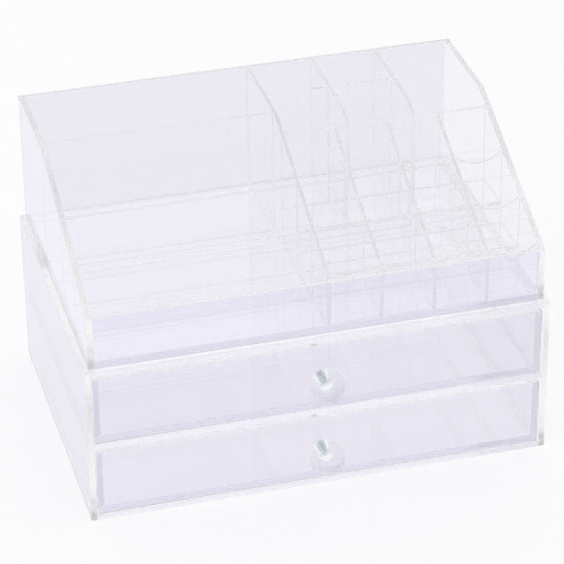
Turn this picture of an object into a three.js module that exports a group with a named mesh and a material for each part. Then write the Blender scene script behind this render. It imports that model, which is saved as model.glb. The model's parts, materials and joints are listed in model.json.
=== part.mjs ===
// A clear desk organizer: a two-drawer cabinet with a compartment tray standing on it.
//
// Everything but the knobs and their screws is flat sheet, cut to shape, stood on edge and
// bonded to its neighbours. The thin dividers cross one another in halving joints, and the
// floors of the lipstick grid rise in steps towards the back.
//
// Millimetres. +Z is up, the drawers open towards -Y, and the origin is the middle of the
// cabinet's footprint on the surface it stands on.

import * as THREE from 'three';

// ------------------------------------------------------------------ driving sizes

const CABINET_WIDTH = 240;
const CABINET_DEPTH = 162;
const CABINET_HEIGHT = 87.5;

const TRAY_INSET = 2.7; // the tray stands in from the cabinet by this much, all round
const TRAY_HEIGHT = 72.3; // underside to the top edge of the back
const TRAY_FRONT_HEIGHT = 28.8; // underside to the top edge of the front
const TRAY_LEVEL_EDGE = 58.3; // level stretch of the side panels' top edge, from the back

const SHEET = 3; // outer panels and drawer walls
const DIVIDER = 2; // thin sheet of the tray's inner walls
const BOND = 0.1; // film of cement between bonded panels
const SLOT_FIT = 0.15; // play on each side of a halving joint
const SEAT_GAP = 0.2; // between the tray's underside and the cabinet

const LIPSTICK_CELL = 25.5; // clear width and depth of one cell of the grid
const GRID_COLUMNS = 4;
const GRID_ROWS = 3;
const FLOOR_STEP = 11; // each row's floor is this much higher than the row in front
const SCALLOP_DEPTH = 4.5; // dip in the top edge of a grid wall, over each cell
const SCALLOP_SHOULDER = 1.5; // level bit of top edge left beside each divider

const REAR_POCKET = 33; // clear width of the small pockets behind the grid
const FRONT_POCKET = 26; // clear depths of the wide pockets, from the front
const CENTRE_POCKET = 24.5;
const LARGE_POCKET = 43;

const DRAWER_SIDE_PLAY = 1; // each side of a drawer
const DRAWER_LIFT = 0.5; // under a drawer
const DRAWER_HEADROOM = 2; // over a drawer
const DRAWER_REAR_PLAY = 2; // behind a drawer

const KNOB_RADIUS = 9;
const KNOB_NECK_RADIUS = 4;
const KNOB_NECK_LENGTH = 1.5;

const SCREW_RADIUS = 1.5;
const SCREW_PLAY = 0.3; // round the shank, in the drawer front and in the knob
const SCREW_REACH = 8; // how far the shank goes into the knob
const SCREW_END_PLAY = 1; // past the end of the shank, in the knob's blind hole
const SCREW_HEAD_RADIUS = 2.8;
const SCREW_HEAD_FLAT = 0.7; // share of the head's radius that is flat on top
const SCREW_HEAD_HEIGHT = 1.9;

const ARC_STEPS = 10; // curveSegments: an arc gets twice as many straight pieces
const TURNED_STEPS = 28; // facets round a turned piece
const DOME_STEPS = 14; // facets from a ball's neck to its pole

// ------------------------------------------------------------------ worked-out places

const cabinetRight = CABINET_WIDTH / 2;
const cabinetFront = -CABINET_DEPTH / 2;
const cabinetBack = CABINET_DEPTH / 2;
const cabinetInnerRight = cabinetRight - SHEET;
const cabinetInnerBack = cabinetBack - SHEET;
const drawerBayHeight = (CABINET_HEIGHT - 3 * SHEET) / 2;

const trayRight = cabinetRight - TRAY_INSET;
const trayFront = cabinetFront + TRAY_INSET;
const trayBack = cabinetBack - TRAY_INSET;
const trayInnerRight = trayRight - SHEET;
const trayInnerFront = trayFront + SHEET;
const trayInnerBack = trayBack - SHEET;
const trayBase = CABINET_HEIGHT + SEAT_GAP;

// Heights inside the tray are measured from its own underside.
const floorTop = SHEET;
const wallFoot = floorTop + BOND;

const halfDivider = DIVIDER / 2;
const gridLeft = trayInnerRight - GRID_COLUMNS * LIPSTICK_CELL - (GRID_COLUMNS - 1) * DIVIDER;
const mainDividerX = gridLeft - halfDivider;
const gridPitch = LIPSTICK_CELL + DIVIDER;
const gridFrontWallY = trayInnerFront + BOND + halfDivider;
const gridRearWallY = gridFrontWallY + GRID_ROWS * gridPitch;

// ------------------------------------------------------------------ materials

function clearSheet() {
  return new THREE.MeshStandardMaterial({
    color: 0xe7e5f0,
    roughness: 0.06,
    metalness: 0,
    transparent: true,
    opacity: 0.35,
  });
}

function clearMoulding() {
  return new THREE.MeshStandardMaterial({
    color: 0xdfe4ea,
    roughness: 0.04,
    metalness: 0,
    transparent: true,
    opacity: 0.45,
  });
}

function steel() {
  return new THREE.MeshStandardMaterial({ color: 0xb9bcc0, roughness: 0.3, metalness: 1 });
}

// ------------------------------------------------------------------ making pieces

function named(name, geometry, material) {
  const mesh = new THREE.Mesh(geometry, material);
  mesh.name = name;
  return mesh;
}

// A plain rectangular panel, given by its two faces along each axis.
function slab(name, [x0, x1], [y0, y1], [z0, z1]) {
  const mesh = named(name, new THREE.BoxGeometry(x1 - x0, y1 - y0, z1 - z0), clearSheet());
  mesh.position.set((x0 + x1) / 2, (y0 + y1) / 2, (z0 + z1) / 2);
  return mesh;
}

// A sheet cut to an outline. Its thickness is shared equally to both sides of its own plane.
function cutSheet(name, shape, thickness) {
  const geometry = new THREE.ExtrudeGeometry(shape, {
    depth: thickness,
    bevelEnabled: false,
    curveSegments: ARC_STEPS,
  });
  geometry.translate(0, 0, -thickness / 2);
  return named(name, geometry, clearSheet());
}

// Stands a cut sheet up so that it runs from left to right: its outline was drawn as (x, z).
function standAcross(mesh, y) {
  mesh.rotation.x = Math.PI / 2;
  mesh.position.y = y;
  return mesh;
}

// Stands a cut sheet up so that it runs from front to back: its outline was drawn as (y, z).
function standLengthwise(mesh, x) {
  const frontToBack = new THREE.Vector3(0, 1, 0);
  const upwards = new THREE.Vector3(0, 0, 1);
  const acrossTheSheet = new THREE.Vector3(1, 0, 0);
  const turn = new THREE.Matrix4().makeBasis(frontToBack, upwards, acrossTheSheet);
  mesh.setRotationFromMatrix(turn);
  mesh.position.x = x;
  return mesh;
}

function outline(points) {
  return new THREE.Shape(points.map(([u, v]) => new THREE.Vector2(u, v)));
}

// A turned piece whose axis points out of the drawer front, towards -Y.
// The profile is a list of [radius, distance out from the drawer front's outer face].
function turned(name, profile, material) {
  const points = profile.map(([radius, out]) => new THREE.Vector2(radius, out));
  const mesh = named(name, new THREE.LatheGeometry(points, TURNED_STEPS), material);
  mesh.rotation.x = Math.PI;
  return mesh;
}

// Profile points of a round dome, from the angle where it starts to its pole on the axis.
// Angles are measured from the axis that the dome's pole lies on.
function dome(radius, centre, startAngle) {
  const points = [];
  for (let step = 0; step <= DOME_STEPS; step += 1) {
    const angle = startAngle * (1 - step / DOME_STEPS);
    const onAxis = step === DOME_STEPS;
    points.push([onAxis ? 0 : radius * Math.sin(angle), centre + radius * Math.cos(angle)]);
  }
  return points;
}

// ------------------------------------------------------------------ cabinet

function cabinet() {
  const group = new THREE.Group();
  const between = [-cabinetInnerRight + BOND, cabinetInnerRight - BOND];
  const frontToBack = [cabinetFront, cabinetInnerBack - BOND];
  const fullHeight = [0, CABINET_HEIGHT];
  const shelfFoot = SHEET + drawerBayHeight;

  group.add(
    slab('cabinet_left_side', [-cabinetRight, -cabinetInnerRight], [cabinetFront, cabinetBack], fullHeight),
    slab('cabinet_right_side', [cabinetInnerRight, cabinetRight], [cabinetFront, cabinetBack], fullHeight),
    slab('cabinet_back', between, [cabinetInnerBack, cabinetBack], fullHeight),
    slab('cabinet_bottom', between, frontToBack, [0, SHEET]),
    slab('drawer_shelf', between, frontToBack, [shelfFoot, shelfFoot + SHEET]),
    slab('cabinet_top', between, frontToBack, [CABINET_HEIGHT - SHEET, CABINET_HEIGHT]),
  );
  return group;
}

// ------------------------------------------------------------------ drawers

const drawerHeight = drawerBayHeight - DRAWER_LIFT - DRAWER_HEADROOM;
const drawerRight = cabinetInnerRight - DRAWER_SIDE_PLAY;
const drawerBack = cabinetInnerBack - DRAWER_REAR_PLAY;
const screwHole = SCREW_RADIUS + SCREW_PLAY;

function drawerFront(name) {
  const shape = outline([
    [-drawerRight, 0],
    [drawerRight, 0],
    [drawerRight, drawerHeight],
    [-drawerRight, drawerHeight],
  ]);
  const hole = new THREE.Path();
  hole.absarc(0, drawerHeight / 2, screwHole, 0, 2 * Math.PI, true);
  shape.holes.push(hole);
  return standAcross(cutSheet(name, shape, SHEET), cabinetFront + SHEET / 2);
}

// A ball on a short neck, with a blind hole for the screw along its axis.
function knob(name) {
  const neckAngle = Math.PI - Math.asin(KNOB_NECK_RADIUS / KNOB_RADIUS);
  const centre = KNOB_NECK_LENGTH - KNOB_RADIUS * Math.cos(neckAngle);
  const boreDepth = SCREW_REACH + SCREW_END_PLAY;
  const profile = [
    [0, boreDepth],
    [screwHole, boreDepth],
    [screwHole, BOND],
    [KNOB_NECK_RADIUS, BOND],
    ...dome(KNOB_RADIUS, centre, neckAngle),
  ];
  return turned(name, profile, clearMoulding());
}

// A pan-head screw put in from inside the drawer.
function knobScrew(name) {
  const seat = -SHEET - BOND;
  const rim = SCREW_HEAD_HEIGHT / 2;
  const profile = [
    [0, seat - SCREW_HEAD_HEIGHT],
    [SCREW_HEAD_RADIUS * SCREW_HEAD_FLAT, seat - SCREW_HEAD_HEIGHT],
    [SCREW_HEAD_RADIUS, seat - rim],
    [SCREW_HEAD_RADIUS, seat],
    [SCREW_RADIUS, seat],
    [SCREW_RADIUS, SCREW_REACH - SCREW_RADIUS / 2],
    [SCREW_RADIUS / 2, SCREW_REACH],
    [0, SCREW_REACH],
  ];
  return turned(name, profile, steel());
}

// Heights inside the drawer's group are measured from its own underside.
function drawer(name, bayFloor) {
  const group = new THREE.Group();
  const behindFront = cabinetFront + SHEET + BOND;
  const sideInner = drawerRight - SHEET;
  const wall = [SHEET + BOND, drawerHeight];

  group.add(
    drawerFront(`${name}_front`),
    slab(`${name}_bottom`, [-drawerRight, drawerRight], [behindFront, drawerBack], [0, SHEET]),
    slab(`${name}_left_side`, [-drawerRight, -sideInner], [behindFront, drawerBack], wall),
    slab(`${name}_right_side`, [sideInner, drawerRight], [behindFront, drawerBack], wall),
    slab(`${name}_back`, [-sideInner + BOND, sideInner - BOND], [drawerBack - SHEET, drawerBack], wall),
  );

  const pull = new THREE.Group();
  pull.position.set(0, cabinetFront, drawerHeight / 2);
  pull.add(knob(`${name}_knob`), knobScrew(`${name}_knob_screw`));
  group.add(pull);

  group.position.z = bayFloor + DRAWER_LIFT;
  return group;
}

// ------------------------------------------------------------------ tray

// Height of the side panels' top edge above the tray's underside, at a place front to back.
const slopeBack = trayBack - TRAY_LEVEL_EDGE;
const slopeRise = (TRAY_HEIGHT - TRAY_FRONT_HEIGHT) / (slopeBack - trayFront);

function edgeHeight(y) {
  return y >= slopeBack ? TRAY_HEIGHT : TRAY_FRONT_HEIGHT + (y - trayFront) * slopeRise;
}

// The top edge of a lengthwise panel as (y, z) points, from back to front.
function topEdge(front, back) {
  const bend = slopeBack > front && slopeBack < back ? [[slopeBack, TRAY_HEIGHT]] : [];
  return [[back, edgeHeight(back)], ...bend, [front, edgeHeight(front)]];
}

// A wall's level top edge meets the slope at the wall's front face.
function wallHeight(y) {
  return edgeHeight(y - halfDivider);
}

function traySide(name, x) {
  const shape = outline([[trayFront, 0], [trayBack, 0], ...topEdge(trayFront, trayBack)]);
  return standLengthwise(cutSheet(name, shape, SHEET), x);
}

function trayShell() {
  const between = [-trayInnerRight + BOND, trayInnerRight - BOND];
  const depthInside = [trayInnerFront + BOND, trayInnerBack - BOND];
  return [
    traySide('tray_left_side', -trayRight + SHEET / 2),
    traySide('tray_right_side', trayRight - SHEET / 2),
    slab('tray_back', between, [trayInnerBack, trayBack], [0, TRAY_HEIGHT]),
    slab('tray_front', between, [trayFront, trayInnerFront], [0, TRAY_FRONT_HEIGHT]),
    slab('tray_floor', between, depthInside, [0, floorTop]),
  ];
}

function mainDivider() {
  const front = trayInnerFront + BOND;
  const back = trayInnerBack - BOND;
  const shape = outline([[front, wallFoot], [back, wallFoot], ...topEdge(front, back)]);
  return standLengthwise(cutSheet('main_divider', shape, DIVIDER), mainDividerX);
}

// The walls of the wide pockets, on the left. The rearmost pocket takes the depth that is left.
function wideWalls() {
  const pockets = { front: FRONT_POCKET, middle: CENTRE_POCKET, rear: LARGE_POCKET };
  const across = [-trayInnerRight + BOND, mainDividerX - halfDivider - BOND];
  let y = trayInnerFront - halfDivider;
  return Object.entries(pockets).map(([place, depth]) => {
    y += depth + DIVIDER;
    const faces = [y - halfDivider, y + halfDivider];
    return slab(`wide_wall_${place}`, across, faces, [wallFoot, wallHeight(y)]);
  });
}

// ---- lipstick grid

const gridAcross = [gridLeft + BOND, trayInnerRight - BOND];
const gridWallY = (row) => gridFrontWallY + row * gridPitch;
const gridDividerX = (column) => gridLeft + column * gridPitch - halfDivider;
const gridFloor = (row) => floorTop + row * FLOOR_STEP;
const slotHalfWidth = halfDivider + SLOT_FIT;

// Height where a wall and the dividers that cross it meet in their halving joints.
function gridJointHeight(row) {
  return (gridFloor(row) + wallHeight(gridWallY(row))) / 2;
}

// Adds the scallop over one cell to a top edge that is drawn from right to left.
function addScallop(shape, cellLeft, top) {
  const halfChord = LIPSTICK_CELL / 2 - SCALLOP_SHOULDER;
  const radius = (halfChord ** 2 + SCALLOP_DEPTH ** 2) / (2 * SCALLOP_DEPTH);
  const drop = radius - SCALLOP_DEPTH;
  const start = Math.atan2(-drop, halfChord);
  const end = Math.atan2(-drop, -halfChord);
  shape.absarc(cellLeft + LIPSTICK_CELL / 2, top + drop, radius, start, end, true);
}

// A wall across the grid: a scallop over each cell, and a slot from above for each divider
// that crosses it. The front wall has no slots, because the dividers end against it.
function gridWall(name, row) {
  const y = gridWallY(row);
  const top = wallHeight(y);
  const [left, right] = gridAcross;
  const shape = outline([[left, wallFoot], [right, wallFoot], [right, top]]);
  for (let column = GRID_COLUMNS - 1; column >= 0; column -= 1) {
    addScallop(shape, gridLeft + column * gridPitch, top);
    if (row > 0 && column > 0) {
      const x = gridDividerX(column);
      const slotFloor = gridJointHeight(row) - SLOT_FIT;
      shape.lineTo(x + slotHalfWidth, top);
      shape.lineTo(x + slotHalfWidth, slotFloor);
      shape.lineTo(x - slotHalfWidth, slotFloor);
      shape.lineTo(x - slotHalfWidth, top);
    }
  }
  shape.lineTo(left, top);
  return standAcross(cutSheet(name, shape, DIVIDER), y);
}

// A divider along the grid. Its lower edge climbs with the stepped floors, and it has a slot
// from below over each wall that it crosses.
function gridDivider(name, column) {
  const front = gridFrontWallY + halfDivider + BOND;
  const back = gridRearWallY - halfDivider - BOND;
  const points = [[front, gridFloor(0) + BOND]];
  for (let row = 1; row < GRID_ROWS; row += 1) {
    const y = gridWallY(row);
    const slotTop = gridJointHeight(row) + SLOT_FIT;
    points.push(
      [y - slotHalfWidth, gridFloor(row - 1) + BOND],
      [y - slotHalfWidth, slotTop],
      [y + slotHalfWidth, slotTop],
      [y + slotHalfWidth, gridFloor(row) + BOND],
    );
  }
  points.push([back, gridFloor(GRID_ROWS - 1) + BOND], ...topEdge(front, back));
  return standLengthwise(cutSheet(name, outline(points), DIVIDER), gridDividerX(column));
}

// The raised floor of one row of cells, bonded between that row's two walls.
function gridStep(name, row) {
  const clear = halfDivider + BOND;
  const depth = [gridWallY(row) + clear, gridWallY(row + 1) - clear];
  return slab(name, gridAcross, depth, [gridFloor(row) - DIVIDER, gridFloor(row)]);
}

function lipstickGrid() {
  const rearFaces = [gridRearWallY - halfDivider, gridRearWallY + halfDivider];
  return [
    gridWall('grid_wall_front', 0),
    gridWall('grid_wall_middle', 1),
    gridWall('grid_wall_back', 2),
    slab('grid_rear_wall', gridAcross, rearFaces, [wallFoot, wallHeight(gridRearWallY)]),
    gridDivider('grid_divider_left', 1),
    gridDivider('grid_divider_middle', 2),
    gridDivider('grid_divider_right', 3),
    gridStep('grid_floor_middle', 1),
    gridStep('grid_floor_back', 2),
  ];
}

// ---- pockets behind the grid

const rearDividerX = [1, 2].map((count) => gridLeft + count * (REAR_POCKET + DIVIDER) - halfDivider);
const rearFront = gridRearWallY + halfDivider + BOND;
const rearBack = trayInnerBack - BOND;
const rearCrossY = (gridRearWallY + halfDivider + trayInnerBack) / 2;
const rearCrossHeight = wallHeight(rearCrossY);
const rearJointHeight = (floorTop + rearCrossHeight) / 2;

// The left one is slotted from below, where the cross wall passes through it.
function rearDividerLeft() {
  const slotTop = rearJointHeight + SLOT_FIT;
  const shape = outline([
    [rearFront, wallFoot],
    [rearCrossY - slotHalfWidth, wallFoot],
    [rearCrossY - slotHalfWidth, slotTop],
    [rearCrossY + slotHalfWidth, slotTop],
    [rearCrossY + slotHalfWidth, wallFoot],
    [rearBack, wallFoot],
    ...topEdge(rearFront, rearBack),
  ]);
  return standLengthwise(cutSheet('rear_divider_left', shape, DIVIDER), rearDividerX[0]);
}

function rearDividerRight() {
  const shape = outline([[rearFront, wallFoot], [rearBack, wallFoot], ...topEdge(rearFront, rearBack)]);
  return standLengthwise(cutSheet('rear_divider_right', shape, DIVIDER), rearDividerX[1]);
}

// Slotted from above over the left divider, and ends against the right one.
function rearCrossWall() {
  const left = gridLeft + BOND;
  const right = rearDividerX[1] - halfDivider - BOND;
  const slotFloor = rearJointHeight - SLOT_FIT;
  const shape = outline([
    [left, wallFoot],
    [right, wallFoot],
    [right, rearCrossHeight],
    [rearDividerX[0] + slotHalfWidth, rearCrossHeight],
    [rearDividerX[0] + slotHalfWidth, slotFloor],
    [rearDividerX[0] - slotHalfWidth, slotFloor],
    [rearDividerX[0] - slotHalfWidth, rearCrossHeight],
    [left, rearCrossHeight],
  ]);
  return standAcross(cutSheet('rear_cross_wall', shape, DIVIDER), rearCrossY);
}

function tray() {
  const group = new THREE.Group();
  group.add(
    ...trayShell(),
    mainDivider(),
    ...wideWalls(),
    ...lipstickGrid(),
    rearDividerLeft(),
    rearDividerRight(),
    rearCrossWall(),
  );
  group.position.z = trayBase;
  return group;
}

// ------------------------------------------------------------------ the whole organizer

const organizer = new THREE.Group();
organizer.add(
  cabinet(),
  drawer('lower_drawer', SHEET),
  drawer('upper_drawer', SHEET + drawerBayHeight + SHEET),
  tray(),
);

export default organizer;
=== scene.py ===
"""A clear two-drawer desk organizer with a compartment tray, built in detail around its CAD frame.

Every flat panel becomes its own acrylic sheet with square bonded edges and polished round free
edges. Beads of cement run along the inside corners of the bonded joints. Each drawer has a turned
clear knob, held by a threaded steel screw. Lengths are in metres; +Z is up and the drawers open
towards -Y.
"""

import json
import logging
import math
from collections.abc import Iterable
from dataclasses import dataclass, field
from enum import Enum

import bmesh
import bpy
from mathutils import Matrix, Vector
from mathutils.bvhtree import BVHTree


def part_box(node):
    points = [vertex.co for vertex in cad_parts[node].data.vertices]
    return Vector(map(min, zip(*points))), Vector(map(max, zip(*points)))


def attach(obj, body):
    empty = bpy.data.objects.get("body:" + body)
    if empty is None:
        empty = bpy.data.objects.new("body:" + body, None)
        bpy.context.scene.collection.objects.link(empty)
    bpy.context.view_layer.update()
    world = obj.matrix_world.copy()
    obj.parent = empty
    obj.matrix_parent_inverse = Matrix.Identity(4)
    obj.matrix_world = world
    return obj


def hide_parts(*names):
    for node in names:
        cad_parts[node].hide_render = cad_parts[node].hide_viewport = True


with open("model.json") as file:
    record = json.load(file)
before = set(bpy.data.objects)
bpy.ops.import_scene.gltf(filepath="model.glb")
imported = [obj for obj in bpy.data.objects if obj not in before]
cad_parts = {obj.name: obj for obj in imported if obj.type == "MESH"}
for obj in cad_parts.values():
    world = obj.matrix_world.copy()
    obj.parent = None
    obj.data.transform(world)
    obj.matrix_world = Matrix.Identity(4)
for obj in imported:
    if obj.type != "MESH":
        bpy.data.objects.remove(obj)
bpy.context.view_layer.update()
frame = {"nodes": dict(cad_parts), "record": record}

MM = 0.001
SAME_PLACE = 0.001 * MM  # corners this close are one corner
SAME_TURNED_PLACE = 0.0005 * MM  # and in a turned mesh, whose facets are finer
SLIVER = 0.0001 * MM  # an edge shorter than this is dropped

# Socket numbers of a Mix node, whose float, vector and colour sockets share their names.
MIX_FACTOR = 0
MIX_FIRST_COLOUR = 6
MIX_SECOND_COLOUR = 7
MIX_COLOUR = 2

# And of a Random Value node, whose vector and number sockets share theirs.
RANDOM_LOW = 2
RANDOM_HIGH = 3
RANDOM_NUMBER = 1

LOG = logging.getLogger("organizer")


class Axis(Enum):
    """A direction of the frame, numbered as a vector's parts are."""

    X = 0
    Y = 1
    Z = 2


class Body(Enum):
    """The parts of the organizer that move as one."""

    CABINET = "cabinet"
    TRAY = "tray"
    LOWER_DRAWER = "lower_drawer"
    UPPER_DRAWER = "upper_drawer"


class Slot(Enum):
    """The material slots that the record names; no piece here is given one."""

    SHEET = "clear_sheet"
    MOULDING = "clear_moulding"
    STEEL = "screw_steel"


class Tint(Enum):
    """The colour of the light that one sheet lets through. CLEAR is the sheet's own; the three
    darker tints are painted shade, laid on chosen panels of the same clear sheet.
    """

    CLEAR = (0.9985, 0.9980, 0.9985)
    FAINT = (0.985, 0.975, 0.997)
    PALE = (0.925, 0.910, 0.985)
    DEEP = (0.865, 0.852, 0.918)


# ---------------------------------------------------------------------------- nodes


class Field:
    """A node's output that does arithmetic: an expression on fields adds its Math nodes."""

    def __init__(self, graph: "Graph", socket: bpy.types.NodeSocket | None) -> None:
        """Wrap one output socket of a tree, or none for a node that ends the tree."""
        self.graph = graph
        self.socket = socket

    def _math(self, operation: str, first: "Field | float", second: "Field | float") -> "Field":
        """Return the result of one Math node."""
        return self.graph.node("ShaderNodeMath", {"operation": operation}, {0: first, 1: second})

    def __add__(self, other: "Field | float") -> "Field":
        """Return self + other."""
        return self._math("ADD", self, other)

    def __radd__(self, other: float) -> "Field":
        """Return other + self."""
        return self._math("ADD", other, self)

    def __mul__(self, other: "Field | float") -> "Field":
        """Return self * other."""
        return self._math("MULTIPLY", self, other)

    def __rmul__(self, other: float) -> "Field":
        """Return other * self."""
        return self._math("MULTIPLY", other, self)


class Graph:
    """Adds nodes to one node tree, for shaders and for Geometry Nodes alike."""

    def __init__(self, tree: bpy.types.NodeTree) -> None:
        """Start with an existing tree."""
        self.tree = tree

    def node(
        self,
        kind: str,
        settings: dict[str, object] | None = None,
        inputs: dict[str | int, object] | None = None,
        output: str | int = 0,
    ) -> Field:
        """Add one node of any type.

        Args:
            kind: The node's type, such as ShaderNodeTexNoise.
            settings: Its properties, set first. "stops" gives a ramp's (place, colour) pairs.
            inputs: The value or Field of each input socket, by name or number.
            output: The output socket to return.

        Returns:
            The chosen output as a Field, which is empty where the node has no outputs.
        """
        made = self.tree.nodes.new(kind)
        for name, value in (settings or {}).items():
            if name == "stops":
                self._set_stops(made.color_ramp, value)
            else:
                setattr(made, name, value)
        for key, value in (inputs or {}).items():
            if isinstance(value, Field):
                self.tree.links.new(value.socket, made.inputs[key])
            else:
                made.inputs[key].default_value = value
        return Field(self, made.outputs[output] if made.outputs else None)

    @staticmethod
    def _set_stops(ramp: bpy.types.ColorRamp, stops: list[tuple[float, tuple]]) -> None:
        """Give a colour ramp two or more stops."""
        while len(ramp.elements) < len(stops):
            ramp.elements.new(1.0)
        for element, (place, colour) in zip(ramp.elements, stops):
            element.position = place
            element.color = (*colour, 1.0)


class ShaderGraph(Graph):
    """A material's node tree, with the patterns that the finishes share."""

    def __init__(self, name: str) -> None:
        """Make a new material with an empty tree."""
        self.material = bpy.data.materials.new(name)
        self.material.use_nodes = True
        super().__init__(self.material.node_tree)
        self.tree.nodes.clear()
        self.place = self.node("ShaderNodeTexCoord", output="Object")

    def stretched(self, scale: tuple[float, float, float], turn: tuple = (0, 0, 0)) -> Field:
        """Return object coordinates scaled and turned by a Mapping node."""
        inputs = {"Vector": self.place, "Rotation": turn, "Scale": scale}
        return self.node("ShaderNodeMapping", {}, inputs)

    def noise(self, at: Field, scale: float, detail: float = 2.0) -> Field:
        """Return a noise pattern from 0 to 1."""
        return self.node("ShaderNodeTexNoise", {}, {"Vector": at, "Scale": scale, "Detail": detail})

    def band(
        self, value: Field, low: float, high: float, to: tuple[float, float] = (0, 1)
    ) -> Field:
        """Return value carried from low..high to another range, clamped."""
        ends = {"Value": value, "From Min": low, "From Max": high, "To Min": to[0], "To Max": to[1]}
        return self.node("ShaderNodeMapRange", {"interpolation_type": "SMOOTHSTEP"}, ends)

    def blend(self, amount: Field, first: tuple, second: tuple) -> Field:
        """Return a mix of two colours."""
        inputs = {
            MIX_FACTOR: amount,
            MIX_FIRST_COLOUR: (*first, 1.0),
            MIX_SECOND_COLOUR: (*second, 1.0),
        }
        return self.node("ShaderNodeMix", {"data_type": "RGBA"}, inputs, output=MIX_COLOUR)

    def bump(self, height: Field, depth: float) -> Field:
        """Return a normal for a relief of that depth, in metres."""
        inputs = {"Height": height, "Distance": depth, "Strength": 1.0}
        return self.node("ShaderNodeBump", {}, inputs)

    def finish(self, **sockets: object) -> bpy.types.Material:
        """Add the Principled shader and the output.

        Args:
            **sockets: Inputs of the shader, with _ for each space in a name.

        Returns:
            The material.
        """
        inputs = {key.replace("_", " "): value for key, value in sockets.items()}
        shader = self.node("ShaderNodeBsdfPrincipled", {}, inputs)
        self.node("ShaderNodeOutputMaterial", {}, {"Surface": shader})
        return self.material


# ---------------------------------------------------------------------------- finishes


@dataclass(frozen=True)
class PolishedAcrylic:
    """The glossy broad face of cast acrylic sheet, with faint waves, wipe marks and scratches."""

    # A tint other than CLEAR is painted shade on this panel.
    tint: Tint = Tint.CLEAR
    name: str = "polished_acrylic"
    ior: float = 1.49
    cloudiness: float = 0.006
    clouds_per_metre: float = 14.0
    wipe_roughness: float = 0.022
    wipe_stretch: tuple[float, float, float] = (1.0, 0.35, 1.6)
    wipe_turn: tuple[float, float, float] = (0.3, 0.2, 0.7)
    wipes_per_metre: float = 26.0
    wipe_cover: tuple[float, float] = (0.52, 0.78)
    scratch_roughness: float = 0.05
    scratch_stretch: tuple[float, float, float] = (9.0, 900.0, 300.0)
    scratch_turn: tuple[float, float, float] = (0.4, 0.9, 0.3)
    scratch_cover: tuple[float, float] = (0.72, 0.8)
    crossing_stretch: tuple[float, float, float] = (700.0, 14.0, 500.0)
    crossing_turn: tuple[float, float, float] = (0.8, 0.1, 1.1)
    crossing_cover: tuple[float, float] = (0.73, 0.81)
    waves_per_metre: float = 34.0
    wave_depth: float = 0.012 * MM

    def material(self) -> bpy.types.Material:
        """Return the finish as a material."""
        g = ShaderGraph(f"{self.name}_{self.tint.name.lower()}")
        cloudy = g.noise(g.place, self.clouds_per_metre, detail=3.0)
        clouded = tuple(part - self.cloudiness for part in self.tint.value)
        smears = g.stretched(self.wipe_stretch, self.wipe_turn)
        wiped = g.noise(smears, self.wipes_per_metre, detail=5.0)
        wipes = g.band(wiped, *self.wipe_cover)
        along = g.noise(g.stretched(self.scratch_stretch, self.scratch_turn), 1.0)
        crossing = g.noise(g.stretched(self.crossing_stretch, self.crossing_turn), 1.0)
        scratches = g.band(along, *self.scratch_cover) + g.band(crossing, *self.crossing_cover)
        waves = g.noise(g.place, self.waves_per_metre, detail=1.0)
        return g.finish(
            Base_Color=g.blend(cloudy, self.tint.value, clouded),
            Roughness=wipes * self.wipe_roughness + scratches * self.scratch_roughness,
            Normal=g.bump(waves, self.wave_depth),
            IOR=self.ior,
            Transmission_Weight=1.0,
        )


@dataclass(frozen=True)
class CutEdge:
    """The sawn and flame-polished edge of acrylic sheet, streaked across its thickness."""

    across: Axis
    name: str = "cut_edge"
    tint: tuple[float, float, float] = (0.975, 0.975, 0.971)
    tint_deep: tuple[float, float, float] = (0.952, 0.956, 0.954)
    ior: float = 1.49
    streaks_per_metre: float = 600.0
    streak_length: float = 20.0
    streak_depth: float = 0.0005 * MM
    patches_per_metre: float = 120.0
    patch_cover: tuple[float, float] = (0.35, 0.7)
    patch_share: float = 0.8
    roughness_cover: tuple[float, float] = (0.35, 0.65)
    roughness_range: tuple[float, float] = (0.16, 0.26)

    def material(self) -> bpy.types.Material:
        """Return the finish as a material."""
        g = ShaderGraph(f"{self.name}_{self.across.name.lower()}")
        scale = [self.streaks_per_metre] * len(Axis)
        scale[self.across.value] = self.streaks_per_metre / self.streak_length
        streaks = g.noise(g.stretched(tuple(scale)), 1.0)
        patches = g.noise(g.place, self.patches_per_metre, detail=3.0)
        uneven = patches * self.patch_share + streaks * (1 - self.patch_share)
        return g.finish(
            Base_Color=g.blend(g.band(patches, *self.patch_cover), self.tint, self.tint_deep),
            Roughness=g.band(uneven, *self.roughness_cover, self.roughness_range),
            Normal=g.bump(streaks, self.streak_depth),
            IOR=self.ior,
            Transmission_Weight=1.0,
        )


@dataclass(frozen=True)
class ClearMoulding:
    """The moulded clear plastic of a knob, with soft flow lines round its axis."""

    name: str = "clear_moulding"
    tint: tuple[float, float, float] = (0.97, 0.985, 0.99)
    tint_deep: tuple[float, float, float] = (0.95, 0.97, 0.985)
    ior: float = 1.49
    flow_stretch: tuple[float, float, float] = (60.0, 320.0, 60.0)
    flow_depth: float = 0.015 * MM
    rubs_per_metre: float = 260.0
    rub_cover: tuple[float, float] = (0.5, 0.75)
    rub_roughness: float = 0.04

    def material(self) -> bpy.types.Material:
        """Return the finish as a material."""
        g = ShaderGraph(self.name)
        flow = g.noise(g.stretched(self.flow_stretch), 1.0)
        rubbed = g.band(g.noise(g.place, self.rubs_per_metre, detail=4.0), *self.rub_cover)
        return g.finish(
            Base_Color=g.blend(flow, self.tint, self.tint_deep),
            Roughness=rubbed * self.rub_roughness,
            Normal=g.bump(flow, self.flow_depth),
            IOR=self.ior,
            Transmission_Weight=1.0,
        )


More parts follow.
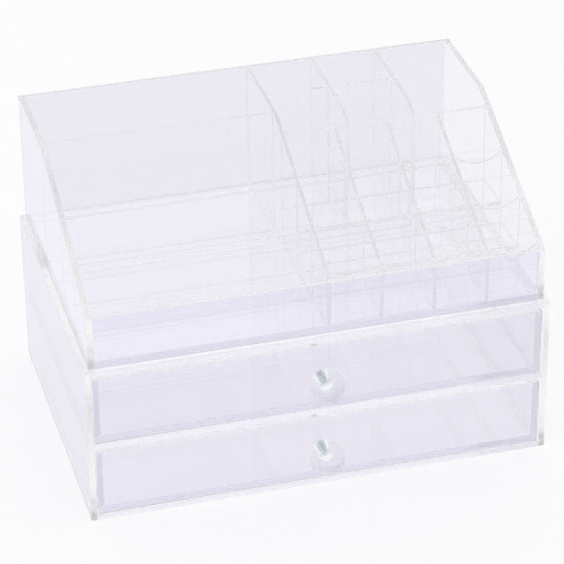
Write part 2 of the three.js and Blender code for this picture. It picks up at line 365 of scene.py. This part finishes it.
@dataclass(frozen=True)
class Cement:
    """Cured solvent cement in a joint, clear but a little uneven."""

    name: str = "joint_cement"
    tint: tuple[float, float, float] = (0.99, 0.99, 0.992)
    tint_deep: tuple[float, float, float] = (0.97, 0.975, 0.98)
    ior: float = 1.48
    lumps_per_metre: float = 700.0
    lump_depth: float = 0.03 * MM
    roughness_cover: tuple[float, float] = (0.3, 0.7)
    roughness_range: tuple[float, float] = (0.02, 0.18)

    def material(self) -> bpy.types.Material:
        """Return the finish as a material."""
        g = ShaderGraph(self.name)
        lumps = g.noise(g.place, self.lumps_per_metre, detail=3.0)
        return g.finish(
            Base_Color=g.blend(lumps, self.tint, self.tint_deep),
            Roughness=g.band(lumps, *self.roughness_cover, self.roughness_range),
            Normal=g.bump(lumps, self.lump_depth),
            IOR=self.ior,
            Transmission_Weight=1.0,
        )


@dataclass(frozen=True)
class ScrewSteel:
    """Plated steel, with turning marks round the screw's axis and duller worn patches."""

    name: str = "screw_steel"
    bright: tuple[float, float, float] = (0.90, 0.93, 0.93)
    worn: tuple[float, float, float] = (0.74, 0.79, 0.80)
    mark_stretch: tuple[float, float, float] = (150.0, 6000.0, 150.0)
    mark_depth: float = 0.012 * MM
    wear_per_metre: float = 900.0
    wear_cover: tuple[float, float] = (0.4, 0.65)
    wear_share: float = 0.6
    roughness_cover: tuple[float, float] = (0.35, 0.65)
    roughness_range: tuple[float, float] = (0.22, 0.45)

    def material(self) -> bpy.types.Material:
        """Return the finish as a material."""
        g = ShaderGraph(self.name)
        marks = g.noise(g.stretched(self.mark_stretch), 1.0)
        wear = g.noise(g.place, self.wear_per_metre, detail=4.0)
        uneven = wear * self.wear_share + marks * (1 - self.wear_share)
        return g.finish(
            Base_Color=g.blend(g.band(wear, *self.wear_cover), self.bright, self.worn),
            Roughness=g.band(uneven, *self.roughness_cover, self.roughness_range),
            Normal=g.bump(marks, self.mark_depth),
            Metallic=1.0,
        )


@dataclass(frozen=True)
class StudioPaper:
    """Matt white paper for the studio floor, which glows a little."""

    name: str = "studio_paper"
    colour: tuple[float, float, float] = (0.66, 0.66, 0.66)
    colour_deep: tuple[float, float, float] = (0.65, 0.65, 0.65)
    glow: float = 0.405
    shades_per_metre: float = 3.0
    tooth_per_metre: float = 400.0
    tooth_depth: float = 0.02 * MM
    roughness_cover: tuple[float, float] = (0.3, 0.7)
    roughness_range: tuple[float, float] = (0.9, 1.0)

    def material(self) -> bpy.types.Material:
        """Return the finish as a material."""
        g = ShaderGraph(self.name)
        tooth = g.noise(g.place, self.tooth_per_metre, detail=4.0)
        shades = g.noise(g.place, self.shades_per_metre)
        return g.finish(
            Base_Color=g.blend(shades, self.colour, self.colour_deep),
            Roughness=g.band(tooth, *self.roughness_cover, self.roughness_range),
            Normal=g.bump(tooth, self.tooth_depth),
            Specular_IOR_Level=0.0,
            Emission_Color=(1.0, 1.0, 1.0, 1.0),
            Emission_Strength=self.glow,
        )


@dataclass
class FinishShelf:
    """Keeps one material of each finish, so that every piece shares it."""

    kept: dict[object, bpy.types.Material] = field(default_factory=dict)

    def get(self, finish: object) -> bpy.types.Material:
        """Return the material of a finish, made the first time it is asked for."""
        if finish not in self.kept:
            self.kept[finish] = finish.material()
        return self.kept[finish]


# ---------------------------------------------------------------------------- meshes


def add_object(name: str, mesh: bpy.types.Mesh) -> bpy.types.Object:
    """Put a mesh in the scene as an object at the origin."""
    made = bpy.data.objects.new(name, mesh)
    bpy.context.scene.collection.objects.link(made)
    return made


def mesh_from(shape: bmesh.types.BMesh, name: str) -> bpy.types.Mesh:
    """Turn an edit mesh into a plain mesh and free it."""
    mesh = bpy.data.meshes.new(name)
    shape.to_mesh(mesh)
    shape.free()
    return mesh


def turned_mesh(
    name: str, profile: Iterable[tuple[float, float]], centre: Vector, segments: int
) -> bpy.types.Mesh:
    """Turn a closed profile about the line through centre that runs along Y.

    Args:
        name: The mesh's name.
        profile: (radius, distance out along -Y) pairs, from the axis round to the axis.
        centre: The point where the distance out is 0.
        segments: Facets round the axis.

    Returns:
        A closed mesh with its faces pointing outwards.
    """
    shape = bmesh.new()
    points = [shape.verts.new(centre + Vector((radius, -out, 0))) for radius, out in profile]
    for first, second in zip(points, points[1:]):
        shape.edges.new((first, second))
    bmesh.ops.spin(
        shape,
        geom=shape.verts[:] + shape.edges[:],
        cent=centre,
        axis=(0, 1, 0),
        angle=2 * math.pi,
        steps=segments,
        use_merge=True,
    )
    bmesh.ops.remove_doubles(shape, verts=shape.verts, dist=SAME_TURNED_PLACE)
    bmesh.ops.dissolve_degenerate(shape, edges=shape.edges, dist=SLIVER)
    bmesh.ops.recalc_face_normals(shape, faces=shape.faces)
    for face in shape.faces:
        face.smooth = True
    return mesh_from(shape, name)


def arc(
    centre: tuple[float, float], radius: float, start: float, end: float, steps: int
) -> list[tuple[float, float]]:
    """Return points of an arc, as (u, v) pairs; angles run from +u towards +v, in radians."""
    angles = [start + (end - start) * step / steps for step in range(steps + 1)]
    return [(centre[0] + radius * math.cos(a), centre[1] + radius * math.sin(a)) for a in angles]


def merged_copy(node: str) -> bmesh.types.BMesh:
    """Return a CAD node's mesh with its loose triangles joined into whole flat faces."""
    shape = bmesh.new()
    shape.from_mesh(frame["nodes"][node].data)
    bmesh.ops.remove_doubles(shape, verts=shape.verts, dist=SAME_PLACE)
    bmesh.ops.dissolve_limit(
        shape, angle_limit=math.radians(1), verts=shape.verts, edges=shape.edges
    )
    shape.normal_update()
    return shape


def search_tree(nodes: list[str]) -> BVHTree:
    """Return a search tree over the CAD meshes of some nodes."""
    points: list[Vector] = []
    faces: list[list[int]] = []
    for node in nodes:
        mesh = frame["nodes"][node].data
        start = len(points)
        points.extend(vertex.co.copy() for vertex in mesh.vertices)
        faces.extend([start + index for index in polygon.vertices] for polygon in mesh.polygons)
    return BVHTree.FromPolygons(points, faces)


def thickness_axis(node: str) -> Axis:
    """Return the direction of a sheet's thickness."""
    low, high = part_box(node)
    sizes = high - low
    return min(Axis, key=lambda axis: sizes[axis.value])


class GeometryGraph(Graph):
    """A Geometry Nodes tree with named inputs, which works on one object's mesh."""

    def __init__(self, name: str, sizes: dict[str, float]) -> None:
        """Make a tree with one number input for each size."""
        tree = bpy.data.node_groups.new(name, "GeometryNodeTree")
        super().__init__(tree)
        tree.interface.new_socket("Geometry", in_out="INPUT", socket_type="NodeSocketGeometry")
        tree.interface.new_socket("Geometry", in_out="OUTPUT", socket_type="NodeSocketGeometry")
        self.sizes = sizes
        for size in sizes:
            tree.interface.new_socket(size, in_out="INPUT", socket_type="NodeSocketFloat")
        entry = tree.nodes.new("NodeGroupInput")
        self.given = {socket.name: Field(self, socket) for socket in entry.outputs if socket.name}

    def joined(self, first: Field, second: Field) -> Field:
        """Return two geometries as one."""
        both = self.node("GeometryNodeJoinGeometry", {}, {0: first})
        self.tree.links.new(second.socket, both.socket.node.inputs[0])
        return both

    def finish(self, geometry: Field, material: bpy.types.Material) -> None:
        """End the tree with real geometry in one material."""
        real = self.node("GeometryNodeRealizeInstances", {}, {0: geometry})
        dressed = self.node("GeometryNodeSetMaterial", {}, {"Geometry": real, "Material": material})
        self.node("NodeGroupOutput", {}, {0: dressed})

    def apply_to(self, piece: bpy.types.Object) -> None:
        """Run the tree on a piece, and keep the result as the piece's plain mesh."""
        modifier = piece.modifiers.new(self.tree.name, "NODES")
        modifier.node_group = self.tree
        for item in self.tree.interface.items_tree:
            if item.item_type == "SOCKET" and item.name in self.sizes:
                modifier[item.identifier] = self.sizes[item.name]
        evaluated = piece.evaluated_get(bpy.context.evaluated_depsgraph_get())
        result = bpy.data.meshes.new_from_object(evaluated)
        piece.modifiers.remove(modifier)
        result.name = piece.name
        piece.data = result


@dataclass
class SheetPanel:
    """One flat panel of acrylic sheet, cut to its CAD node's shape.

    Its broad faces are polished. Its free edges are rounded by the flame that polished them, and
    an edge that is bonded to another panel stays square.
    """

    node: str
    rounding: float
    bond_reach: float = 0.22 * MM
    fold_angle: float = math.radians(25)
    crease_angle: float = math.radians(50)
    flat_cosine: float = 0.999

    def build(self, neighbours: BVHTree) -> bpy.types.Object:
        """Make the panel.

        Args:
            neighbours: The other panels of the same body, to tell which edges are bonded.

        Returns:
            The panel's object, whose second material slot is for its cut edges.
        """
        shape = merged_copy(self.node)
        free = [edge for edge in shape.edges if self._is_free(edge, neighbours)]
        bmesh.ops.bevel(
            shape,
            geom=free,
            offset=self.rounding,
            segments=2,
            profile=0.5,
            affect="EDGES",
            clamp_overlap=True,
        )
        axis = thickness_axis(self.node).value
        for face in shape.faces:
            broad = abs(face.normal[axis]) > self.flat_cosine
            face.material_index = 0 if broad else 1
            face.smooth = not broad
        for edge in shape.edges:
            edge.smooth = edge.is_boundary or edge.calc_face_angle(0) < self.crease_angle
        return add_object(f"{self.node}_panel", mesh_from(shape, f"{self.node}_panel"))

    def _is_free(self, edge: bmesh.types.BMEdge, neighbours: BVHTree) -> bool:
        """Return whether an edge is a fold that no other panel touches."""
        if edge.calc_face_angle(0) < self.fold_angle:
            return False
        middle = (edge.verts[0].co + edge.verts[1].co) / 2
        return neighbours.find_nearest(middle, self.bond_reach)[0] is None


@dataclass
class CementLines:
    """Thin beads of cement along the inside corners where one body's panels are bonded."""

    name: str
    radius: float = 0.14 * MM
    clear: float = 0.02 * MM
    step: float = 1.5 * MM
    reach: float = 0.22 * MM
    facing_cosine: float = 0.5
    fewest_points: int = 3
    thinnest: float = 0.7
    sides: int = 6
    seed: int = 4
    piece: bpy.types.Object = field(init=False)

    def build(self, nodes: list[str], material: bpy.types.Material) -> None:
        """Find the corners and lay the beads.

        Args:
            nodes: The CAD nodes of the body's panels.
            material: The finish of the cement.
        """
        shape = bmesh.new()
        for node in nodes:
            others = search_tree([other for other in nodes if other != node])
            for start, end in self._corners(node, others):
                ends = (shape.verts.new(start), shape.verts.new(end))
                shape.edges.new(ends)
        self.piece = add_object(self.name, mesh_from(shape, self.name))
        sizes = {"Radius": self.radius, "Spacing": 2 * self.step, "Thinnest": self.thinnest}
        g = GeometryGraph("cement_bead", sizes)
        lines = g.node("GeometryNodeMeshToCurve", {}, {"Mesh": g.given["Geometry"]})
        even = g.node(
            "GeometryNodeResampleCurve",
            {"mode": "LENGTH"},
            {"Curve": lines, "Length": g.given["Spacing"]},
        )
        uneven = g.node(
            "FunctionNodeRandomValue",
            {"data_type": "FLOAT"},
            {RANDOM_LOW: g.given["Thinnest"], RANDOM_HIGH: 1.0, "Seed": self.seed},
            output=RANDOM_NUMBER,
        )
        section = g.node(
            "GeometryNodeCurvePrimitiveCircle",
            {"mode": "RADIUS"},
            {"Resolution": self.sides, "Radius": g.given["Radius"]},
        )
        bead = g.node(
            "GeometryNodeCurveToMesh",
            {},
            {"Curve": even, "Profile Curve": section, "Scale": uneven, "Fill Caps": True},
        )
        g.finish(bead, material)
        g.apply_to(self.piece)

    def _corners(self, node: str, others: BVHTree) -> list[tuple[Vector, Vector]]:
        """Return the centre lines of the beads along one panel's bonded edges.

        Args:
            node: The panel's CAD node.
            others: The other panels of the body.

        Returns:
            The two ends of each bead's centre line.
        """
        shape = merged_copy(node)
        across = thickness_axis(node).value
        found = []
        for edge in shape.edges:
            faces = sorted(edge.link_faces, key=lambda face: -abs(face.normal[across]))
            if len(faces) != 2 or abs(faces[1].normal[across]) > self.facing_cosine:
                continue
            broad, narrow = (face.normal.copy() for face in faces)
            ends = [vertex.co.copy() for vertex in edge.verts]
            found.extend(self._runs(ends, broad, narrow, others))
        shape.free()
        return found

    def _runs(
        self, ends: list[Vector], broad: Vector, narrow: Vector, others: BVHTree
    ) -> list[tuple[Vector, Vector]]:
        """Return the stretches of one edge that lie in a corner with another panel.

        Args:
            ends: The edge's two ends.
            broad: The outward direction of the panel's broad face.
            narrow: The outward direction of its cut edge.
            others: The other panels of the body.

        Returns:
            The two ends of each bead's centre line.
        """
        start, end = ends
        count = int((end - start).length / self.step)
        runs: list[list[Vector]] = [[]]
        for index in range(1, count):
            point = start.lerp(end, index / count)
            probe = point + broad * (2 * self.radius) - narrow * self.clear
            hit, normal, _, distance = others.ray_cast(probe, narrow, self.reach)
            if hit is None or normal.dot(narrow) > -self.facing_cosine:
                runs.append([])
                continue
            inset = self.radius + self.clear
            gap = distance - self.clear
            runs[-1].append(point + broad * inset + narrow * (gap - inset))
        return [(run[0], run[-1]) for run in runs if len(run) >= self.fewest_points]

    def dress(self, body: Body) -> None:
        """Hand the beads over with the body that they are on."""
        hand_over(self.piece, body)


@dataclass
class PanelStack:
    """The bonded panels of one body."""

    body: Body
    nodes: list[str]
    # Painted shade: the panels named here get a darker tint than the clear sheet.
    painted_shade_tints: dict[str, Tint] = field(default_factory=dict)
    rounding: float = 0.3 * MM
    panels: dict[str, bpy.types.Object] = field(default_factory=dict)
    cement: CementLines = field(init=False)

    def build(self) -> None:
        """Make every panel of the body."""
        for node in self.nodes:
            others = search_tree([other for other in self.nodes if other != node])
            self.panels[node] = SheetPanel(node, self.rounding).build(others)

    def bond(self, shelf: FinishShelf) -> None:
        """Lay the cement between the panels."""
        self.cement = CementLines(f"{self.body.value}_cement_lines")
        self.cement.build(self.nodes, shelf.get(Cement()))

    def dress(self, shelf: FinishShelf) -> None:
        """Finish every panel, and hand over the panels and the cement."""
        for node, panel in self.panels.items():
            across = thickness_axis(node)
            polished = PolishedAcrylic(self.painted_shade_tints.get(node, Tint.CLEAR))
            panel.data.materials.append(shelf.get(polished))
            panel.data.materials.append(shelf.get(CutEdge(across)))
            hand_over(panel, self.body, [node])
        self.cement.dress(self.body)


def hand_over(
    piece: bpy.types.Object, body: Body, stands_for: Iterable[str] = ()
) -> None:
    """Put a finished piece on its body's empty, and hide the CAD nodes that it stands for.

    Args:
        piece: The finished object.
        body: The body it moves with.
        stands_for: The CAD nodes that it replaces.
    """
    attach(piece, body.value)
    nodes = list(stands_for)
    if nodes:
        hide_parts(*nodes)
    LOG.info("%s: %d faces, on %s", piece.name, len(piece.data.polygons), body.value)


# ---------------------------------------------------------------------------- sub-assemblies


@dataclass
class Cabinet:
    """The open-fronted case that the drawers run in."""

    sheets: tuple[str, ...] = ("left_side", "right_side", "back", "bottom", "top")
    stack: PanelStack = field(init=False)

    def build(self, shelf: FinishShelf) -> None:
        """Make the case's panels and bond them."""
        nodes = [f"cabinet_{sheet}" for sheet in self.sheets] + ["drawer_shelf"]
        # Painted shade: the left side and the back are darkened and the right side barely, though
        # all are the same clear sheet.
        painted_shade_tints = {
            "cabinet_left_side": Tint.DEEP,
            "cabinet_right_side": Tint.FAINT,
            "cabinet_back": Tint.PALE,
        }
        self.stack = PanelStack(Body.CABINET, nodes, painted_shade_tints)
        self.stack.build()
        self.stack.bond(shelf)

    def dress(self, shelf: FinishShelf) -> None:
        """Finish the case's panels."""
        self.stack.dress(shelf)


@dataclass
class Tray:
    """The compartment tray that stands on the cabinet."""

    stack: PanelStack = field(init=False)

    def build(self, shelf: FinishShelf) -> None:
        """Make every panel that the record puts in the tray's body, and bond them."""
        nodes = list(frame["record"]["behaviour"]["bodies"][Body.TRAY.value])
        # Painted shade: the back, the front and the left side are darkened and the right side
        # barely, though all are the same clear sheet.
        painted_shade_tints = {
            "tray_back": Tint.DEEP,
            "tray_front": Tint.PALE,
            "tray_left_side": Tint.PALE,
            "tray_right_side": Tint.FAINT,
        }
        self.stack = PanelStack(Body.TRAY, nodes, painted_shade_tints)
        self.stack.build()
        self.stack.bond(shelf)

    def dress(self, shelf: FinishShelf) -> None:
        """Finish the tray's panels."""
        self.stack.dress(shelf)


@dataclass
class Knob:
    """A clear ball on a short neck, with a blind hole for its screw."""

    body: Body
    radius: float = 9 * MM
    neck_radius: float = 4 * MM
    neck_length: float = 1.5 * MM
    foot_gap: float = 0.1 * MM
    bore_radius: float = 1.8 * MM
    bore_depth: float = 9 * MM
    segments: int = 96
    dome_steps: int = 48
    piece: bpy.types.Object = field(init=False)

    @property
    def node(self) -> str:
        """The CAD node that the knob stands for."""
        return f"{self.body.value}_knob"

    def foot(self) -> Vector:
        """Return the point on the drawer front that the knob's axis goes through."""
        low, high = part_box(self.node)
        return Vector(((low.x + high.x) / 2, high.y + self.foot_gap, (low.z + high.z) / 2))

    def build(self) -> None:
        """Turn the knob."""
        neck_angle = math.pi - math.asin(self.neck_radius / self.radius)
        centre = self.neck_length - self.radius * math.cos(neck_angle)
        ball = arc((0, centre), self.radius, math.pi / 2 - neck_angle, math.pi / 2, self.dome_steps)
        profile = [
            (0, self.bore_depth),
            (self.bore_radius, self.bore_depth),
            (self.bore_radius, self.foot_gap),
            (self.neck_radius, self.foot_gap),
            *ball[:-1],
            (0, centre + self.radius),
        ]
        name = f"{self.node}_ball"
        self.piece = add_object(name, turned_mesh(name, profile, self.foot(), self.segments))

    def dress(self, shelf: FinishShelf) -> None:
        """Finish the knob."""
        self.piece.data.materials.append(shelf.get(ClearMoulding()))
        hand_over(self.piece, self.body, [self.node])


@dataclass
class KnobScrew:
    """A pan-head machine screw with a cross recess and a rolled thread."""

    body: Body
    shank_radius: float = 1.5 * MM
    thread_height: float = 0.28 * MM
    pitch: float = 0.5 * MM
    head_radius: float = 2.8 * MM
    head_height: float = 1.9 * MM
    recess_width: float = 0.85 * MM
    recess_span: float = 3.6 * MM
    recess_depth: float = 1.2 * MM
    weld: float = 0.003 * MM
    segments: int = 48
    crown_steps: int = 12
    recess_arms: int = 4
    thread_facets: int = 24
    thread_sides: int = 6
    piece: bpy.types.Object = field(init=False)

    @property
    def node(self) -> str:
        """The CAD node that the screw stands for."""
        return f"{self.body.value}_knob_screw"

    def build(self, material: bpy.types.Material) -> None:
        """Turn the screw, cut its recess and wind its thread.

        Args:
            material: The finish of the whole screw.
        """
        low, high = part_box(self.node)
        tip = Vector(((low.x + high.x) / 2, low.y, (low.z + high.z) / 2))
        length = high.y - low.y
        seat = self.head_height - length
        core = self.shank_radius - self.thread_height
        crown = arc((0, seat), self.head_radius, -math.pi / 2, 0, self.crown_steps)
        flatter = self.head_height / self.head_radius
        head = [(radius, seat + (out - seat) * flatter) for radius, out in crown]
        head[0] = (0, -length)  # the crown's middle, exactly on the axis
        profile = [*head, (core, seat), (core, -core / 2), (core / 2, 0), (0, 0)]
        mesh = turned_mesh(f"{self.node}_steel", profile, tip, self.segments)
        self.piece = add_object(f"{self.node}_steel", mesh)
        self._cut_recess(Vector((tip.x, high.y, tip.z)))
        self._wind_thread(tip, -seat, material)

    def _cut_recess(self, crown: Vector) -> None:
        """Cut the cross recess into the head.

        Args:
            crown: The middle of the head's top.
        """
        half, span = self.recess_width / 2, self.recess_span / 2
        quarter = [(half, span), (half, half), (span, half)]
        outline = []
        for arm in range(self.recess_arms):
            turn = 2 * math.pi * arm / self.recess_arms
            cos, sin = math.cos(turn), math.sin(turn)
            outline.extend((u * cos + v * sin, v * cos - u * sin) for u, v in quarter)
        shape = bmesh.new()
        rim = [shape.verts.new(crown + Vector((u, self.recess_depth, v))) for u, v in outline]
        wall = bmesh.ops.extrude_face_region(shape, geom=[shape.faces.new(rim)])
        floor = [item for item in wall["geom"] if isinstance(item, bmesh.types.BMVert)]
        bmesh.ops.translate(shape, verts=floor, vec=(0, -2 * self.recess_depth, 0))
        bmesh.ops.recalc_face_normals(shape, faces=shape.faces)
        cutter = add_object("recess_cutter", mesh_from(shape, "recess_cutter"))
        modifier = self.piece.modifiers.new("recess", "BOOLEAN")
        modifier.operation = "DIFFERENCE"
        modifier.solver = "EXACT"
        modifier.object = cutter
        evaluated = self.piece.evaluated_get(bpy.context.evaluated_depsgraph_get())
        cut = bmesh.new()
        cut.from_mesh(evaluated.data)
        bmesh.ops.remove_doubles(cut, verts=cut.verts, dist=self.weld)
        bmesh.ops.dissolve_degenerate(cut, edges=cut.edges, dist=self.weld)
        self.piece.modifiers.remove(modifier)
        self.piece.data = mesh_from(cut, self.piece.name)
        bpy.data.objects.remove(cutter)

    def _wind_thread(self, tip: Vector, shank: float, material: bpy.types.Material) -> None:
        """Wind the thread round the shank, as a swept spiral.

        Args:
            tip: The screw's end on its axis.
            shank: The shank's length.
            material: The finish of the whole screw.
        """
        ridge = self.thread_height / 2
        inset = 2 * ridge
        length = shank - 2 * inset
        sizes = {
            "Radius": self.shank_radius - ridge,
            "Ridge": ridge,
            "Length": length,
            "Turns": length / self.pitch,
        }
        g = GeometryGraph("rolled_thread", sizes)
        spiral = g.node(
            "GeometryNodeCurveSpiral",
            {},
            {
                "Resolution": self.thread_facets,
                "Rotations": g.given["Turns"],
                "Start Radius": g.given["Radius"],
                "End Radius": g.given["Radius"],
                "Height": g.given["Length"],
            },
        )
        section = g.node(
            "GeometryNodeCurvePrimitiveCircle",
            {"mode": "RADIUS"},
            {"Resolution": self.thread_sides, "Radius": g.given["Ridge"]},
        )
        swept = g.node(
            "GeometryNodeCurveToMesh",
            {},
            {"Curve": spiral, "Profile Curve": section, "Fill Caps": True},
        )
        turned = g.node(
            "GeometryNodeTransform",
            {},
            {
                "Geometry": swept,
                "Translation": tip + Vector((0, inset, 0)),
                "Rotation": (-math.pi / 2, 0, 0),
            },
        )
        g.finish(g.joined(turned, g.given["Geometry"]), material)
        g.apply_to(self.piece)

    def dress(self) -> None:
        """Hand the screw over with its drawer."""
        hand_over(self.piece, self.body, [self.node])


@dataclass
class Drawer:
    """One drawer, with its knob and screw."""

    body: Body
    walls: tuple[str, ...] = ("front", "bottom", "left_side", "right_side", "back")
    stack: PanelStack = field(init=False)
    knob: Knob = field(init=False)
    screw: KnobScrew = field(init=False)

    def build(self, shelf: FinishShelf) -> None:
        """Make the drawer's bonded panels, its knob and its screw."""
        nodes = [f"{self.body.value}_{wall}" for wall in self.walls]
        # Painted shade: the drawer's front gets a deep tint, though it is the same clear sheet as
        # its other walls.
        self.stack = PanelStack(self.body, nodes, {f"{self.body.value}_front": Tint.DEEP})
        self.stack.build()
        self.knob = Knob(self.body)
        self.knob.build()
        self.stack.bond(shelf)
        self.screw = KnobScrew(self.body)
        self.screw.build(shelf.get(ScrewSteel()))

    def dress(self, shelf: FinishShelf) -> None:
        """Finish the drawer."""
        self.stack.dress(shelf)
        self.knob.dress(shelf)
        self.screw.dress()


# ---------------------------------------------------------------------------- studio


@dataclass(frozen=True)
class SoftBox:
    """One large soft lamp that points at the organizer."""

    name: str
    place: tuple[float, float, float]
    size: float
    watts: float

    def build(self, aim: Vector) -> None:
        """Add the lamp, turned towards a point."""
        lamp = bpy.data.lights.new(self.name, "AREA")
        lamp.shape = "SQUARE"
        lamp.size = self.size
        lamp.energy = self.watts
        made = bpy.data.objects.new(self.name, lamp)
        made.location = self.place
        made.rotation_euler = (aim - made.location).to_track_quat("-Z", "Y").to_euler()
        bpy.context.scene.collection.objects.link(made)


@dataclass
class Studio:
    """A pale floor, a bright soft surround, and the camera."""

    floor_size: float = 12.0
    floor_drop: float = 0.2 * MM
    surround_bright: tuple[float, float, float] = (0.99, 0.99, 1.0)
    surround_dim: tuple[float, float, float] = (0.72, 0.74, 0.76)
    surround_strength: float = 0.86
    dim_side: tuple[float, float, float] = (-0.35, -0.9, 0.25)
    dim_edge: float = 0.55
    dim_core: float = 0.95
    lens: float = 183.23
    sensor: float = 36.0
    azimuth: float = math.radians(-15.229)
    elevation: float = math.radians(31.115)
    roll: float = math.radians(-0.604)
    distance: float = 1.48761
    aim_height: float = 0.084
    aim_right: float = 0.002102
    aim_up: float = -0.009826
    lamps: tuple[SoftBox, ...] = (
        SoftBox("rear_soft_box", (0.6, 2.2, 1.35), 1.6, 1.5),
        SoftBox("left_soft_box", (-2.0, -0.8, 1.2), 1.6, 6.5),
    )

    def build(self, shelf: FinishShelf) -> None:
        """Make the floor, the surround, the lamps and the camera."""
        self._floor(shelf)
        self._surround()
        self._camera()
        for lamp in self.lamps:
            lamp.build(Vector((0, 0, self.aim_height)))

    def _floor(self, shelf: FinishShelf) -> None:
        """Lay the paper floor just under the case."""
        shape = bmesh.new()
        bmesh.ops.create_grid(shape, x_segments=1, y_segments=1, size=self.floor_size / 2)
        bmesh.ops.translate(shape, verts=shape.verts, vec=(0, 0, -self.floor_drop))
        floor = add_object("studio_floor", mesh_from(shape, "studio_floor"))
        floor.data.materials.append(shelf.get(StudioPaper()))

    def _surround(self) -> None:
        """Light the scene from all round, but for a dim patch low down in front."""
        world = bpy.data.worlds.new("studio_surround")
        world.use_nodes = True
        world.node_tree.nodes.clear()
        g = Graph(world.node_tree)
        direction = g.node("ShaderNodeTexCoord", output="Generated")
        facing = g.node(
            "ShaderNodeVectorMath",
            {"operation": "DOT_PRODUCT"},
            {0: direction, 1: self.dim_side},
            output="Value",
        )
        stops = [(self.dim_edge, self.surround_bright), (self.dim_core, self.surround_dim)]
        colour = g.node("ShaderNodeValToRGB", {"stops": stops}, {0: facing})
        light = g.node("ShaderNodeBackground", {}, {0: colour, 1: self.surround_strength})
        g.node("ShaderNodeOutputWorld", {}, {"Surface": light})
        bpy.context.scene.world = world

    def _camera(self) -> None:
        """Point the camera down at the front left corner."""
        flat = math.cos(self.elevation)
        east, south = math.sin(self.azimuth) * flat, -math.cos(self.azimuth) * flat
        back = Vector((east, south, math.sin(self.elevation)))
        level = (-back).cross(Vector((0, 0, 1))).normalized()
        upright = level.cross(-back)
        right = level * math.cos(self.roll) + upright * math.sin(self.roll)
        up = upright * math.cos(self.roll) - level * math.sin(self.roll)
        aim = Vector((0, 0, self.aim_height)) + right * self.aim_right + up * self.aim_up
        lens = bpy.data.cameras.new("view")
        lens.lens = self.lens
        lens.sensor_width = self.sensor
        lens.dof.use_dof = False
        camera = bpy.data.objects.new("view", lens)
        bpy.context.scene.collection.objects.link(camera)
        turn = Matrix((right, up, back)).transposed().to_4x4()
        camera.matrix_world = Matrix.Translation(aim + back * self.distance) @ turn
        bpy.context.scene.camera = camera


def set_clear_plastic_light_paths(bounces: int = 250, floor_bounces: int = 32) -> None:
    """Let light go through many sheets one behind another, and keep whites unchanged."""
    scene = bpy.context.scene
    scene.cycles.max_bounces = bounces
    scene.cycles.transmission_bounces = bounces
    scene.cycles.glossy_bounces = bounces
    scene.cycles.diffuse_bounces = floor_bounces
    scene.cycles.blur_glossy = 0.0
    scene.view_settings.view_transform = "Standard"


def main() -> None:
    """Build the organizer, part by part, and the studio round it."""
    logging.basicConfig(level=logging.INFO, format="%(message)s")
    shelf = FinishShelf()
    parts = [Cabinet(), Drawer(Body.LOWER_DRAWER), Drawer(Body.UPPER_DRAWER), Tray()]
    for part in parts:
        part.build(shelf)
        part.dress(shelf)
        LOG.info("%s is done", type(part).__name__)
    Studio().build(shelf)
    set_clear_plastic_light_paths()


if __name__ == "__main__":
    main()
